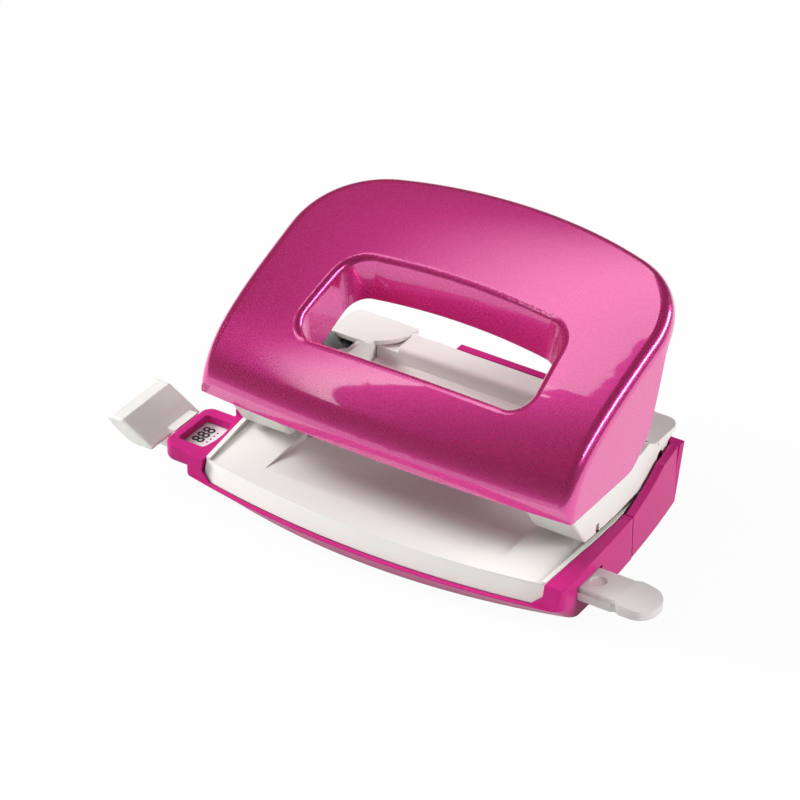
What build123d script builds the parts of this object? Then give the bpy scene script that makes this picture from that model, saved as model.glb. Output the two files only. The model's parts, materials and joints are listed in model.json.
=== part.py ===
import math
import os

from build123d import *

os.makedirs("parts", exist_ok=True)

# Millimetres. +X right, +Y to the rear, +Z up. The origin is on the desk, under the
# middle of the line between the two punch pins.

# Punching standard
hole_spacing = 80.0
pin_x = hole_spacing / 2
pin_dia = 5.5
paper_margin = 12.0
paper_slot = 2.2

# Clearances
slip = 0.3
run_fit = 0.05
seat_fit = 0.05
press_gap = 0.1

# Base plan and walls
side_margin = 13.0
base_half_width = pin_x + side_margin
corner_y = -26.5
side_radius = 310.0
foot_apex_y = -34.0
foot_front_radius = 173.0
foot_corner_radius = 2.5
lip_apex_y = -37.8
lip_front_radius = 242.0
lip_corner_radius = 3.0
lip_inner_radius = 2.4
lip_height = 5.0
lip_wall = 1.4
rim_height = 11.6
rim_front_drop = 1.0
rim_drop_y = -31.0
rim_drop_run = 1.2
base_wall = 2.6
floor_thick = 1.6
seam_y = 2.2
spine_half_width = 4.0
tongue_margin = 2.0
tongue_half_width = pin_x + tongue_margin
tongue_rear_y = 25.0

# Chip tray
tray_wall = 2.2
tray_rear_y = 28.0
tray_rear_lean = 0.25
tray_floor = 1.2
tray_front_y = -7.0
tray_front_height = 3.0
wing_height = 15.5
wing_rise_y = 20.0
wing_start_slope = 0.15
wing_end_slope = 0.35
tab_half_width = 15.6
tab_height = 20.0
tab_taper = 1.4

# Paper deck
deck_top = 10.4
deck_thick = 2.6
deck_side_gap = 1.4
deck_half_width = base_half_width - base_wall - deck_side_gap
deck_flare = 1.8
deck_flare_y = -12.0
deck_front_half = deck_half_width - deck_flare
deck_bevel_run = 1.7
deck_crease_drop = 1.0
deck_slope_y = -14.0
bead_width = 1.2
bead_rise = 1.2
bead_front_rise = 0.3
deck_skirt_thick = 2.4
deck_corner_radius = 1.6
recess_depth = 1.5
recess_gap = 0.8
recess_front_y = -32.0

# Dies and bushes
die_size = 15.0
die_thick = 1.8
chip_hole_dia = 8.0
bush_dia = 7.4
bush_flange_dia = 8.2
bush_flange = 1.8

# Cheeks
jaw_inner = 5.7
jaw_setback = 0.6
jaw_inner_x = pin_x - jaw_inner
jaw_outer_x = deck_half_width - jaw_setback
recess_half_width = jaw_inner_x - recess_gap
jaw_front_y = -14.1
jaw_front_slope = 0.667
jaw_floor = 2.4
cheek_wall = 1.4
cheek_top = 22.5
cheek_step_y = 17.0
shoulder_top = 20.0
roof_thick = 1.2
visor_offset = 0.5
visor_x = pin_x + visor_offset
visor_y = 33.5
visor_radius = 12.5
cheek_gap = 0.4
notch_y = -8.4
notch_width = 1.4
notch_height = 2.2
jaw_edge_radius = 1.0
shoulder_corner_radius = 3.5

# Rear bridge
bridge_half_width = visor_x - visor_radius - slip
bridge_wall = 1.6
bridge_step_y = 23.3
bridge_step_z = 15.5
bridge_toe_z = 12.4

# Lever, pins and springs
pivot_y = 24.0
pivot_z = 14.4
pivot_dia = 3.6
pivot_blind = 0.6
eye_radius = 3.2
arm_offset = 1.8
arm_inner_x = pin_x + arm_offset
arm_thick = 1.6
nose_radius = 4.0
nose_y = 1.8
nose_reach = 3.5
nose_inner_x = pin_x - nose_reach
arm_head_rise = 4.0
arm_head_back = 7.0
arm_head_front = 11.0
arm_head_drop = 1.5
arm_throat = (5.5, -4.0)
arm_elbow = (-12.4, 5.6)
arm_heel = (-6.6, -0.2)
arm_root = (-2.0, -1.4)
arm_saddle_y = -4.0
arm_shoulder = (-9.2, 10.6)
arm_weld_y = -5.0
arm_weld_z = 1.2
arm_weld_width = 9.0
arm_weld_height = 5.6
pin_rest_z = 13.0
pin_length = 19.3
pin_head_dia = 7.4
pin_head = 2.3
cap_dia = 8.0
cap_thick = 1.4
spring_wire = 0.8
spring_mean_dia = 7.0
spring_turns = 5

# Handle
handle_margin = 11.7
handle_half_width = pin_x + handle_margin
handle_sheet = 1.4
handle_bow_radius = 620.0
crown_middle = [(-23.2, 39.2), (-14.5, 45.1), (1.5, 51.9), (20.0, 58.1)]
crown_rear_z = 61.8
crown_overrun = 10.0
crown_end_rise = 0.8
bow_overrun = 4.0
block_below = 15.5
handle_crease_y = -29.1
handle_crease_z = 29.5
handle_lip_back = 1.2
handle_bottom = 25.5
handle_rear_y = 40.5
handle_rear_radius = 120.0
handle_corner_radius = 24.0
handle_edge_radius = 3.2
handle_panel_radius = 7.0
panel_foot_y = 1.5
panel_heel = (9.0, 33.0)
panel_top = (16.2, 52.0)
panel_run = (6.0, 1.4)
opening_front_y = -15.9
opening_rear_y = 8.9
opening_side_gap = 7.5
opening_taper = 2.5
opening_front_half = pin_x - opening_side_gap
opening_rear_half = opening_front_half - opening_taper
opening_rear_bow = 1.6
opening_front_radius = 5.5
opening_rear_radius = 7.0
opening_rim_radius = 2.0
opening_mid_z = 48.0
collar_taper = 10.0
collar_front_z = 31.5
collar_rear_z = 44.8

# Guide ruler with its paper stop
ruler_front_y = -24.4
ruler_rear_y = -13.4
ruler_top = 7.5
ruler_thick = 3.0
ruler_reach = 18.5
ruler_slope_length = 8.8
ruler_tip_x = base_half_width + ruler_reach
ruler_slope_x = ruler_tip_x - ruler_slope_length
ruler_tip_drop = 1.2
ruler_tip_radius = 5.0
ruler_rail_width = 0.8
ruler_rail_depth = 1.0
stop_front_y = -32.0
stop_rear_y = -12.0
stop_top = 13.6
stop_lean = 4.5
stop_thick = 5.0
stop_foot_z = 8.2
stop_edge_radius = 0.7
stop_toe = 4.2
stop_belly_x = 5.9
stop_belly_z = 2.4
block_height = 1.1
block_rise = 1.9
block_inset = 0.7
label_thick = 0.2
label_length = 96.0
label_inset = 0.9
guide_steps = [0.0, 5.5, 36.5, 80.0]
detent_notch_radius = 1.5
detent_notch_depth = 0.5
detent_half = 12.0
detent_thick = 0.5
detent_bow = 1.3
detent_post_dia = 3.0
dimple_reach = 2.3
dimple_radius = 1.9
dimple_depth = 0.4

# Window tongue on the left of the base
window_reach = 8.0
stop_reach = 13.5
window_front_y = -29.5
window_rear_y = -10.5
window_top = 9.8
window_corner_radius = 3.0
window_edge_radius = 0.8
window_under_radius = 2.0
aperture_rim = 2.4
aperture_width = 7.3
aperture_bow = 1.0
aperture_front_y = -26.2
aperture_rear_y = -14.1
aperture_corner_radius = 0.8

# Fasteners and pads
screw_dia = 2.2
screw_head_dia = 4.4
screw_head = 1.5
pad_dia = 9.0
pad_thick = 0.9
boss_dia = 5.2
screw_tip_gap = 0.8
rib_spacing = 28.0
front_screw_offset = 5.0
front_screw_y = -9.8
spine_screw_y = 16.0
cheek_screw_inset = 1.6
cheek_screw_y = 15.2
bridge_screw_inset = 7.7
bridge_screw_y = 19.5
pad_inset = 8.0
front_pad_y = -22.0
rear_pad_y = 18.0

deck_under = deck_top - deck_thick
window_outer_x = -base_half_width - window_reach
aperture_outer_x = window_outer_x + aperture_rim
aperture_inner_x = aperture_outer_x + aperture_width
stop_root_x = -base_half_width - stop_reach
stop_toe_x = stop_root_x + stop_toe
stop_under = (stop_root_x - stop_belly_x, stop_foot_z + stop_belly_z)
dimple_x = base_half_width + dimple_reach
detent_reach = ruler_slope_x
slot_top = deck_top + paper_slot
ruler_bottom = ruler_top - ruler_thick
through = 4 * base_half_width


def side_x(y, inset=0.0):
    drop = y - corner_y
    return base_half_width - side_radius + math.sqrt(side_radius**2 - drop**2) - inset


def plan_outline(apex_y, front_radius, corner_radius, inset, rear_y):
    half = base_half_width - inset
    corner = apex_y + front_radius - math.sqrt(front_radius**2 - half**2)
    middle = (corner + rear_y) / 2
    with BuildSketch() as plan:
        with BuildLine():
            ThreePointArc((-half, corner), (0, apex_y), (half, corner))
            right = ThreePointArc(
                (half, corner), (side_x(middle, inset), middle), (side_x(rear_y, inset), rear_y)
            )
            left = ThreePointArc(
                (-half, corner), (-side_x(middle, inset), middle), (-side_x(rear_y, inset), rear_y)
            )
            Line(right @ 1, left @ 1)
        make_face()
        fillet(plan.vertices().sort_by(Axis.Y)[:2], corner_radius)
    return plan.sketch


def flare_outline(gap):
    front, rear = deck_front_half + gap, deck_half_width + gap
    with BuildSketch() as flare:
        with BuildLine():
            Polyline(
                (-front, 2 * lip_apex_y),
                (front, 2 * lip_apex_y),
                (front, lip_apex_y),
                (rear, deck_flare_y),
                (rear, base_half_width),
                (-rear, base_half_width),
                (-rear, deck_flare_y),
                (-front, lip_apex_y),
                close=True,
            )
        make_face()
    return flare.sketch


def screw(x, y, head_z, length):
    with BuildPart() as body:
        with Locations((x, y, head_z)):
            Cylinder(screw_head_dia / 2, screw_head, align=(Align.CENTER, Align.CENTER, Align.MAX))
            Cylinder(screw_dia / 2, length, align=(Align.CENTER, Align.CENTER, Align.MIN))
    return body.part


foot_plan = plan_outline(foot_apex_y, foot_front_radius, foot_corner_radius, 0, seam_y)
lip_plan = plan_outline(lip_apex_y, lip_front_radius, lip_corner_radius, 0, seam_y)
foot_cavity = plan_outline(
    foot_apex_y + base_wall, foot_front_radius, foot_corner_radius, base_wall, seam_y + 1
)
lip_cavity = plan_outline(
    lip_apex_y + lip_wall, lip_front_radius, lip_inner_radius, base_wall, seam_y + 1
)

# Screw places
cheek_screw_x = pin_x - cheek_screw_inset
bridge_screw_x = bridge_half_width - bridge_screw_inset
pad_x = tongue_half_width - pad_inset
front_screws = [(sign * (pin_x + front_screw_offset), front_screw_y) for sign in (-1, 1)]
spine_screw = (0.0, spine_screw_y)
cheek_screws = [(sign * cheek_screw_x, cheek_screw_y) for sign in (-1, 1)]
bridge_screws = [(sign * bridge_screw_x, bridge_screw_y) for sign in (-1, 1)]
body_screw_places = cheek_screws + bridge_screws
pad_places = [(sign * pad_x, y) for y in (front_pad_y, rear_pad_y) for sign in (-1, 1)]

# Base shell: pink front pan with the window tongue and the floor under the chip tray
ruler_mid_y = (ruler_front_y + ruler_rear_y) / 2
ruler_width = ruler_rear_y - ruler_front_y
tunnel_bottom = ruler_bottom - slip
detent_x = detent_reach - guide_steps[-1]
detent_ends_y = ruler_rear_y + slip + detent_bow
detent_post_y = detent_ends_y + detent_thick + seat_fit + detent_post_dia / 2
window_mid_y = (window_front_y + window_rear_y) / 2
window_inner_x = -deck_half_width - slip
tunnel_top = ruler_top + slip
with BuildPart() as window_hood:
    with BuildSketch(Plane.XY.offset(ruler_bottom)) as hood_plan:
        with Locations((window_outer_x, window_mid_y)):
            Rectangle(
                window_inner_x - window_outer_x,
                window_rear_y - window_front_y,
                align=(Align.MIN, Align.CENTER),
            )
        fillet(hood_plan.vertices().group_by(Axis.X)[0], window_corner_radius)
    extrude(amount=window_top - ruler_bottom)
    hood_edges = window_hood.edges().filter_by(lambda edge: edge.center().X < window_inner_x - slip)
    fillet(hood_edges.group_by(Axis.Z)[-1], window_edge_radius)
    fillet(window_hood.faces().sort_by(Axis.Z)[0].edges().sort_by(Axis.X)[:-1], window_under_radius)
with BuildPart() as base_shell:
    with BuildSketch():
        add(foot_plan)
    with BuildSketch(Plane.XY.offset(lip_height)):
        add(lip_plan)
    loft(ruled=True)
    with BuildSketch(Plane.XY.offset(lip_height)):
        add(lip_plan)
    extrude(amount=rim_height - lip_height)
    with BuildSketch(Plane.XY.offset(floor_thick)):
        add(foot_cavity)
    with BuildSketch(Plane.XY.offset(lip_height)):
        add(lip_cavity)
    loft(ruled=True, mode=Mode.SUBTRACT)
    with BuildSketch(Plane.XY.offset(lip_height)):
        add(lip_cavity)
        add(flare_outline(slip), mode=Mode.INTERSECT)
    extrude(amount=rim_height, mode=Mode.SUBTRACT)
    with BuildSketch(Plane.YZ):
        with BuildLine():
            Polyline(
                (deck_slope_y, rim_height),
                (rim_drop_y, rim_height - rim_front_drop),
                (rim_drop_y - rim_drop_run, lip_height),
                (lip_apex_y - 1, lip_height),
                (lip_apex_y - 1, rim_height + 1),
                (deck_slope_y, rim_height + 1),
                close=True,
            )
        make_face()
    extrude(amount=base_half_width + 1, both=True, mode=Mode.SUBTRACT)
    with BuildSketch():
        with Locations((0, seam_y - 1)):
            Rectangle(2 * tongue_half_width, tongue_rear_y - seam_y + 1, align=(Align.CENTER, Align.MIN))
    extrude(amount=floor_thick)
    with BuildSketch(Plane.XY.offset(floor_thick)):
        with Locations((0, tray_front_y)):
            Rectangle(2 * spine_half_width, tongue_rear_y - tray_front_y, align=(Align.CENTER, Align.MIN))
        with Locations(*front_screws):
            Circle(boss_dia / 2)
    extrude(amount=deck_under - floor_thick)
    with BuildSketch(Plane.XY.offset(floor_thick)):
        with Locations(*[(x, ruler_mid_y) for x in (-rib_spacing, 0, rib_spacing)]):
            Rectangle(base_wall, ruler_width)
    extrude(amount=tunnel_bottom - floor_thick)
    with BuildSketch(Plane.XY.offset(floor_thick)):
        with Locations(*[(detent_x + sign * detent_half, detent_post_y) for sign in (-1, 1)]):
            Circle(detent_post_dia / 2)
    extrude(amount=ruler_top - floor_thick)
    with BuildSketch(Plane.XY.offset(window_top)):
        with Locations((-deck_front_half, window_rear_y)):
            Rectangle(base_half_width, base_half_width, align=(Align.MAX, Align.MAX))
    extrude(amount=rim_height, mode=Mode.SUBTRACT)
    add(window_hood.part)
    with BuildSketch(Plane.YZ):
        with Locations((ruler_mid_y, (tunnel_bottom + tunnel_top) / 2)):
            Rectangle(ruler_width + 2 * slip, tunnel_top - tunnel_bottom)
    extrude(amount=through, both=True, mode=Mode.SUBTRACT)
    with BuildSketch(Plane.XY.offset(ruler_top)) as aperture:
        with BuildLine():
            Polyline(
                (aperture_inner_x, aperture_front_y),
                (aperture_outer_x, aperture_front_y),
                (aperture_outer_x, aperture_rear_y),
                (aperture_inner_x, aperture_rear_y),
            )
            ThreePointArc(
                (aperture_inner_x, aperture_front_y),
                (aperture_inner_x + aperture_bow, (aperture_front_y + aperture_rear_y) / 2),
                (aperture_inner_x, aperture_rear_y),
            )
        make_face()
        fillet(aperture.vertices(), aperture_corner_radius)
    extrude(amount=window_top, mode=Mode.SUBTRACT)
    with Locations(*[(x, y, 0) for x, y in pad_places]):
        Cylinder(
            pad_dia / 2 + seat_fit,
            pad_thick,
            align=(Align.CENTER, Align.CENTER, Align.MIN),
            mode=Mode.SUBTRACT,
        )
    with Locations(*[(x, y, 0) for x, y in front_screws + [spine_screw]]):
        Cylinder(
            screw_head_dia / 2 + seat_fit,
            screw_head + slip,
            align=(Align.CENTER, Align.CENTER, Align.MIN),
            mode=Mode.SUBTRACT,
        )
        Cylinder(
            screw_dia / 2 + seat_fit,
            deck_under,
            align=(Align.CENTER, Align.CENTER, Align.MIN),
            mode=Mode.SUBTRACT,
        )
base_shell.part.label = "base_shell"
export_step(base_shell.part, "parts/base_shell.step")

# Chip tray: pink rear part that slides out to the rear, with wings, tab and floor
tray_floor_z = floor_thick + slip
tray_plan_rear = tray_rear_y + tray_rear_lean * tab_height + 1


def rear_y(z, inset=0.0):
    return tray_rear_y + tray_rear_lean * z - inset


def side_band(inner_inset, outer_inset, front_y, back_y):
    middle = (front_y + back_y) / 2
    with BuildSketch() as band:
        with BuildLine():
            outer = ThreePointArc(
                *[(side_x(y, outer_inset), y) for y in (front_y, middle, back_y)]
            )
            inner = ThreePointArc(
                *[(side_x(y, inner_inset), y) for y in (front_y, middle, back_y)]
            )
            Line(outer @ 0, inner @ 0)
            Line(outer @ 1, inner @ 1)
        make_face()
        mirror(about=Plane.YZ)
    return band.sketch


wing_front_y = seam_y + slip
wing_band = side_band(tray_wall, 0, wing_front_y, tray_plan_rear)
with BuildPart() as chip_tray:
    with BuildSketch(Plane.XY.offset(slip)):
        add(wing_band)
    extrude(amount=wing_height - slip)
    with BuildSketch(Plane.YZ):
        with BuildLine():
            Polyline(
                (rear_y(slip), slip),
                (rear_y(tab_height), tab_height),
                (rear_y(tab_height, tray_wall), tab_height),
                (rear_y(slip, tray_wall), slip),
                close=True,
            )
        make_face()
    extrude(amount=side_x(rear_y(slip)), both=True)
    with BuildSketch(Plane.XZ.offset(-tray_plan_rear)):
        with BuildLine():
            Polyline(
                (tab_half_width + tab_taper, wing_height),
                (tab_half_width, tab_height),
                (tab_half_width, tab_height + 1),
                (base_half_width, tab_height + 1),
                (base_half_width, wing_height),
                close=True,
            )
        make_face()
        mirror(about=Plane.YZ)
    extrude(amount=tray_plan_rear - seam_y, mode=Mode.SUBTRACT)
    with BuildSketch(Plane.YZ):
        with BuildLine():
            Polyline(
                (rear_y(0), 0),
                (rear_y(tab_height + 1), tab_height + 1),
                (tray_plan_rear + 1, tab_height + 1),
                (tray_plan_rear + 1, 0),
                close=True,
            )
        make_face()
    extrude(amount=base_half_width, both=True, mode=Mode.SUBTRACT)
    with BuildSketch(Plane.YZ):
        with BuildLine():
            start = (wing_front_y - 1, rim_height)
            rise = Spline(
                (wing_front_y, rim_height),
                (wing_rise_y, wing_height),
                tangents=[(1, wing_start_slope), (1, wing_end_slope)],
            )
            Polyline(rise @ 0, start, (wing_front_y - 1, wing_height + 1))
            Polyline((wing_front_y - 1, wing_height + 1), (wing_rise_y, wing_height + 1), rise @ 1)
        make_face()
    extrude(amount=base_half_width, both=True, mode=Mode.SUBTRACT)
    with BuildSketch(Plane.XY.offset(tray_floor_z)) as tray_plan:
        with BuildLine():
            half = tongue_half_width
            Polyline(
                (spine_half_width + slip, tray_front_y),
                (half, tray_front_y),
                (half, wing_front_y),
                (side_x(wing_front_y, tray_wall / 2), wing_front_y),
                (side_x(rear_y(0), tray_wall), rear_y(0, tray_wall / 2)),
                (spine_half_width + slip, rear_y(0, tray_wall / 2)),
                close=True,
            )
        make_face()
        mirror(about=Plane.YZ)
    extrude(amount=tray_floor)
    with BuildSketch(Plane.XY.offset(tray_floor_z)):
        with Locations((0, tray_front_y)):
            Rectangle(2 * tongue_half_width, tray_floor, align=(Align.CENTER, Align.MIN))
        for sign in (-1, 1):
            with Locations((sign * (spine_half_width + slip + tray_floor / 2), tray_front_y)):
                Rectangle(
                    tray_floor, rear_y(0, tray_wall / 2) - tray_front_y, align=(Align.CENTER, Align.MIN)
                )
        with Locations((0, tray_front_y)):
            Rectangle(
                2 * (spine_half_width + slip),
                tongue_rear_y - tray_front_y + slip,
                align=(Align.CENTER, Align.MIN),
                mode=Mode.SUBTRACT,
            )
    extrude(amount=tray_front_height)
chip_tray.part.label = "chip_tray"
export_step(chip_tray.part, "parts/chip_tray.step")

# Paper deck: white table with bevelled front, die pockets and the shallow middle dip
deck_rear_y = rear_y(deck_under, tray_wall + cheek_gap)
deck_inset = base_wall + cheek_gap
deck_plan = plan_outline(
    lip_apex_y + lip_wall + slip, lip_front_radius, deck_corner_radius, deck_inset, deck_rear_y
)
skirt_cavity = plan_outline(
    lip_apex_y + lip_wall + slip + deck_skirt_thick,
    lip_front_radius,
    deck_corner_radius,
    0,
    deck_rear_y + 1,
)
skirt_bottom = lip_height
crease_plan = plan_outline(
    lip_apex_y + lip_wall + slip + deck_bevel_run,
    lip_front_radius,
    deck_corner_radius,
    deck_inset,
    deck_rear_y,
)
deck_front_z = deck_top - deck_crease_drop
die_z = deck_top - die_thick
recess_rear_y = paper_margin + slip + bridge_wall + slip
with BuildPart() as deck_space:
    with BuildSketch(Plane.YZ):
        with BuildLine():
            Polyline(
                (base_half_width, deck_top),
                (deck_slope_y, deck_top),
                (lip_apex_y + deck_bevel_run, deck_front_z),
                (2 * lip_apex_y, deck_front_z),
                (2 * lip_apex_y, 2 * deck_top),
                (base_half_width, 2 * deck_top),
                close=True,
            )
        make_face()
    extrude(amount=base_half_width, both=True)
    with BuildSketch(Plane.XY.offset(deck_under)):
        add(flare_outline(-bead_width))
    extrude(amount=2 * deck_top, mode=Mode.INTERSECT)
with BuildPart() as paper_deck:
    with BuildSketch(Plane.XY.offset(skirt_bottom)):
        add(deck_plan)
    with BuildSketch(Plane.XY.offset(deck_front_z)):
        add(crease_plan)
    loft(ruled=True)
    with BuildSketch(Plane.XY.offset(deck_front_z)):
        add(crease_plan)
    extrude(amount=deck_crease_drop + bead_rise)
    with BuildSketch(Plane.XY.offset(skirt_bottom)):
        add(skirt_cavity)
    extrude(amount=deck_under - skirt_bottom, mode=Mode.SUBTRACT)
    with BuildSketch(Plane.XY.offset(skirt_bottom)):
        with Locations((0, ruler_front_y - slip)):
            Rectangle(
                through, deck_rear_y - ruler_front_y + 2 * slip, align=(Align.CENTER, Align.MIN)
            )
    extrude(amount=deck_under - skirt_bottom, mode=Mode.SUBTRACT)
    with BuildSketch(Plane.XY.offset(skirt_bottom)):
        add(flare_outline(0))
    extrude(amount=deck_top, mode=Mode.INTERSECT)
    add(deck_space.part, mode=Mode.SUBTRACT)
    with BuildSketch(Plane.YZ):
        with BuildLine():
            Polyline(
                (deck_slope_y, deck_top + bead_rise),
                (lip_apex_y, deck_front_z + bead_front_rise),
                (lip_apex_y, 2 * deck_top),
                (deck_slope_y, 2 * deck_top),
                close=True,
            )
        make_face()
    extrude(amount=base_half_width, both=True, mode=Mode.SUBTRACT)
    with BuildSketch(Plane.YZ):
        with BuildLine():
            Polyline(
                (recess_front_y, deck_top),
                (jaw_front_y, deck_top - recess_depth),
                (recess_rear_y, deck_top - recess_depth),
                (recess_rear_y, deck_top + 1),
                (recess_front_y, deck_top + 1),
                close=True,
            )
        make_face()
    extrude(amount=recess_half_width, both=True, mode=Mode.SUBTRACT)
    with Locations((-pin_x, 0, die_z), (pin_x, 0, die_z)):
        Box(
            die_size + 2 * seat_fit,
            die_size + 2 * seat_fit,
            die_thick,
            align=(Align.CENTER, Align.CENTER, Align.MIN),
            mode=Mode.SUBTRACT,
        )
        Cylinder(chip_hole_dia / 2, deck_top, mode=Mode.SUBTRACT)
    screw_holes = body_screw_places + front_screws + [spine_screw]
    with Locations(*[(x, y, deck_under) for x, y in screw_holes]):
        Cylinder(
            screw_dia / 2 + seat_fit,
            deck_thick - screw_tip_gap + slip,
            align=(Align.CENTER, Align.CENTER, Align.MIN),
            mode=Mode.SUBTRACT,
        )
    with Locations(*[(x, y, deck_under) for x, y in body_screw_places]):
        Cylinder(
            screw_dia / 2 + seat_fit,
            deck_thick,
            align=(Align.CENTER, Align.CENTER, Align.MIN),
            mode=Mode.SUBTRACT,
        )
paper_deck.part.label = "paper_deck"
export_step(paper_deck.part, "parts/paper_deck.step")

# Steel dies, flush in the deck under each pin
for side, sign in (("left", -1), ("right", 1)):
    with BuildPart() as die:
        with Locations((sign * pin_x, 0, die_z)):
            Box(die_size, die_size, die_thick - seat_fit, align=(Align.CENTER, Align.CENTER, Align.MIN))
            Cylinder(pin_dia / 2 + run_fit, 4 * die_thick, mode=Mode.SUBTRACT)
    die.part.label = f"{side}_die"
    export_step(die.part, f"parts/{side}_die.step")

# Cheeks: white jaw over the paper slot, hollow for the lever, with the shoulder roof behind
jaw_floor_z = slot_top + jaw_floor
cheek_rear = tray_wall + cheek_gap
cheek_plan_rear = rear_y(shoulder_top)
roof_under = shoulder_top - roof_thick
stop_wall_y = paper_margin
visor_front_y = visor_y - visor_radius
visor_outer_x = side_x(visor_front_y, base_wall + slip)
shoulder_corner_x = visor_outer_x - shoulder_corner_radius
pivot_inner_x = jaw_inner_x + pivot_blind
toe_y = stop_wall_y + slip
ledge_slope = (bridge_step_z - bridge_toe_z) / (bridge_step_y - toe_y)
bridge_boss_top = bridge_toe_z + ledge_slope * (bridge_screw_y - boss_dia / 2 - toe_y) - slip
body_screw_tip = bridge_boss_top - 2 * screw_tip_gap
jaw_front_top_y = jaw_front_y - jaw_front_slope * (cheek_top - slot_top)


def cheek_plan(inset):
    outer = [min(jaw_outer_x, side_x(y, base_wall + slip)) - inset for y in (0, stop_wall_y)]
    middle = (stop_wall_y + cheek_plan_rear) / 2
    with BuildSketch() as plan:
        with BuildLine():
            Polyline(
                (outer[1], stop_wall_y),
                (outer[0], 0),
                (outer[0], jaw_front_top_y - 1),
                (jaw_inner_x + inset, jaw_front_top_y - 1),
                (jaw_inner_x + inset, cheek_plan_rear),
                (side_x(cheek_plan_rear, base_wall + slip) - inset, cheek_plan_rear),
            )
            ThreePointArc(
                (outer[1], stop_wall_y),
                (side_x(middle, base_wall + slip) - inset, middle),
                (side_x(cheek_plan_rear, base_wall + slip) - inset, cheek_plan_rear),
            )
        make_face()
    return plan.sketch


cheek_outer_plan = cheek_plan(0)
cheek_cavity_plan = cheek_plan(cheek_wall)
with BuildPart() as right_cheek:
    with BuildSketch(Plane.XY.offset(deck_top)):
        add(cheek_outer_plan)
    extrude(amount=cheek_top - deck_top)
    with BuildSketch(Plane.YZ):
        with BuildLine():
            Polyline(
                (jaw_front_y, slot_top),
                (jaw_front_top_y, cheek_top),
                (cheek_step_y, cheek_top),
                (visor_front_y, shoulder_top),
                (rear_y(shoulder_top), shoulder_top),
                (rear_y(wing_height + slip), wing_height + slip),
                (rear_y(wing_height + slip, cheek_rear), wing_height + slip),
                (rear_y(deck_top, cheek_rear), deck_top),
                (stop_wall_y, deck_top),
                (stop_wall_y, slot_top),
                close=True,
            )
        make_face()
    extrude(amount=base_half_width, mode=Mode.INTERSECT)
    jaw_front = right_cheek.faces().sort_by(Axis.Y)[0]
    fillet(jaw_front.edges().sort_by(Axis.Z)[:-1], jaw_edge_radius)
    with BuildPart(mode=Mode.PRIVATE) as cavity:
        with BuildSketch(Plane.XY.offset(deck_top)):
            add(cheek_cavity_plan)
        extrude(amount=cheek_top - deck_top + 1)
        with BuildSketch(Plane.YZ):
            with BuildLine():
                Polyline(
                    (jaw_front_y - jaw_front_slope * jaw_floor + cheek_wall, jaw_floor_z),
                    (jaw_front_top_y + cheek_wall, cheek_top),
                    (jaw_front_top_y + cheek_wall, cheek_top + 1),
                    (visor_front_y, cheek_top + 1),
                    (visor_front_y, roof_under),
                    (rear_y(roof_under, cheek_rear + cheek_wall), roof_under),
                    (rear_y(deck_top, cheek_rear + cheek_wall), deck_top),
                    (stop_wall_y + cheek_wall, deck_top),
                    (stop_wall_y + cheek_wall, jaw_floor_z),
                    close=True,
                )
            make_face()
        extrude(amount=base_half_width, mode=Mode.INTERSECT)
    add(cavity.part, mode=Mode.SUBTRACT)
    with BuildSketch(Plane.XY.offset(roof_under)):
        with Locations((visor_x, visor_y)):
            Circle(visor_radius)
        with Locations((visor_x, cheek_plan_rear)):
            Rectangle(
                4 * visor_radius, 2 * visor_radius, align=(Align.CENTER, Align.MIN), mode=Mode.SUBTRACT
            )
        with Locations((visor_outer_x, 0)):
            Rectangle(
                2 * visor_radius,
                through,
                align=(Align.MIN, Align.CENTER),
                mode=Mode.SUBTRACT,
            )
    extrude(amount=roof_thick)
    with BuildSketch(Plane.XY.offset(wing_height)):
        with Locations((shoulder_corner_x, cheek_plan_rear)):
            Rectangle(shoulder_corner_radius, shoulder_corner_radius, align=(Align.MIN, Align.MAX))
        with Locations((shoulder_corner_x, cheek_plan_rear - shoulder_corner_radius)):
            Circle(shoulder_corner_radius, mode=Mode.SUBTRACT)
    extrude(amount=shoulder_top, mode=Mode.SUBTRACT)
    with Locations((cheek_screw_x, cheek_screw_y, deck_top)):
        Cylinder(boss_dia / 2, roof_under - deck_top, align=(Align.CENTER, Align.CENTER, Align.MIN))
        Cylinder(
            screw_dia / 2 + seat_fit,
            body_screw_tip + screw_tip_gap - deck_top,
            align=(Align.CENTER, Align.CENTER, Align.MIN),
            mode=Mode.SUBTRACT,
        )
    with Locations((pin_x, 0, slot_top)):
        Cylinder(
            bush_dia / 2 + seat_fit,
            jaw_floor,
            align=(Align.CENTER, Align.CENTER, Align.MIN),
            mode=Mode.SUBTRACT,
        )
    with BuildSketch(Plane.YZ.offset(pivot_inner_x)):
        with Locations((pivot_y, pivot_z)):
            Circle(pivot_dia / 2 + seat_fit)
    extrude(amount=base_half_width, mode=Mode.SUBTRACT)
    with Locations((jaw_outer_x, notch_y, slot_top)):
        Box(
            2 * cheek_wall,
            notch_width,
            notch_height,
            align=(Align.CENTER, Align.CENTER, Align.MIN),
            mode=Mode.SUBTRACT,
        )
with BuildPart() as left_cheek:
    mirror(right_cheek.part, about=Plane.YZ)
right_cheek.part.label = "right_cheek"
export_step(right_cheek.part, "parts/right_cheek.step")
left_cheek.part.label = "left_cheek"
export_step(left_cheek.part, "parts/left_cheek.step")

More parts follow.
